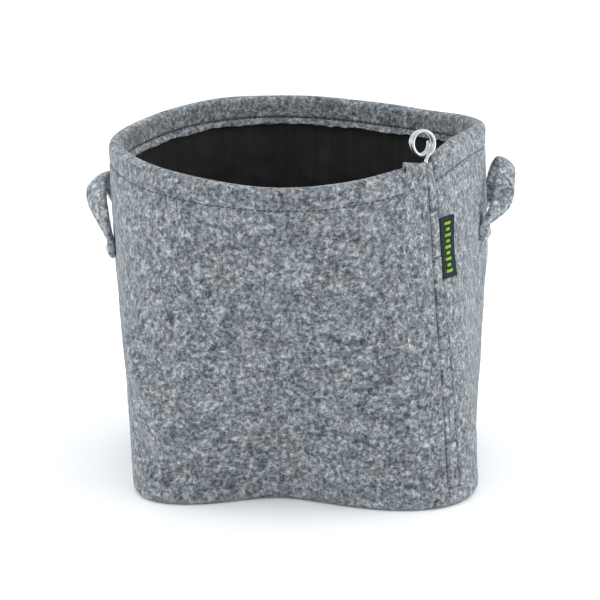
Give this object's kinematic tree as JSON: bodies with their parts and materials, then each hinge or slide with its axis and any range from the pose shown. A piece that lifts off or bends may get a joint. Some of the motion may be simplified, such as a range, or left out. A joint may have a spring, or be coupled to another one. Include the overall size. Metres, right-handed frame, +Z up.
{
  "type": "fabric grow bag",
  "caption": "Open-topped round felt grow bag with folded rim hem, black lining, wall closure held by a ringed steel rod, side label and strap handles.",
  "frame": {"origin": "Middle of the flat underside of the base, where the bag stands on the floor.", "axes": "+Z up out of the open mouth; -Y is the front, the side that the closure and label are turned towards; -X and +X carry the handles."},
  "size_m": [0.3402, 0.3129, 0.2786],
  "materials": {
    "grey_felt": "thick heather grey needled felt, matt and slightly hairy",
    "black_lining": "dense black fabric lining with a faint soft sheen",
    "grey_thread": "grey sewing thread sunk into the felt",
    "bright_steel": "bright plated steel wire",
    "label_cloth": "dark woven label cloth"
  },
  "bodies": {
    "bag": {"wall_felt": "grey_felt", "base_felt": "grey_felt", "wall_lining": "black_lining", "base_lining": "black_lining", "closure_strip_left": "grey_felt", "closure_strip_right": "grey_felt", "side_label": "label_cloth", "hem_stitching_outside": "grey_thread", "hem_stitching_inside": "grey_thread", "base_seam_stitching": "grey_thread", "closure_stitching_left": "grey_thread", "closure_stitching_right": "grey_thread", "handle_left_front_stitches": "grey_thread", "handle_left_back_stitches": "grey_thread", "handle_right_front_stitches": "grey_thread", "handle_right_back_stitches": "grey_thread", "handle_left_front_end": "grey_felt", "handle_left_back_end": "grey_felt", "handle_right_front_end": "grey_felt", "handle_right_back_end": "grey_felt"},
    "closing_rod": {"closing_rod": "bright_steel"},
    "handle_left": {"handle_left_loop": "grey_felt"},
    "handle_right": {"handle_right_loop": "grey_felt"}
  },
  "joints": [
    {"name": "rod_pull", "type": "slide", "parent": "bag", "child": "closing_rod", "axis": [-0.0852, 0.098, 0.9915], "range_m": [0, 0.25]},
    {"name": "handle_left_swing", "type": "hinge", "parent": "bag", "child": "handle_left", "pos_m": [-0.14602, 0.01675, 0.18734], "axis": [-0.1022, -0.9943, -0.031], "range_deg": [-5, 45], "stiffness_Nm_per_rad": 0.3},
    {"name": "handle_right_swing", "type": "hinge", "parent": "bag", "child": "handle_right", "pos_m": [0.14596, 0.01804, 0.19873], "axis": [0.0275, 0.9993, -0.0247], "range_deg": [-5, 45], "stiffness_Nm_per_rad": 0.3}
  ]
}
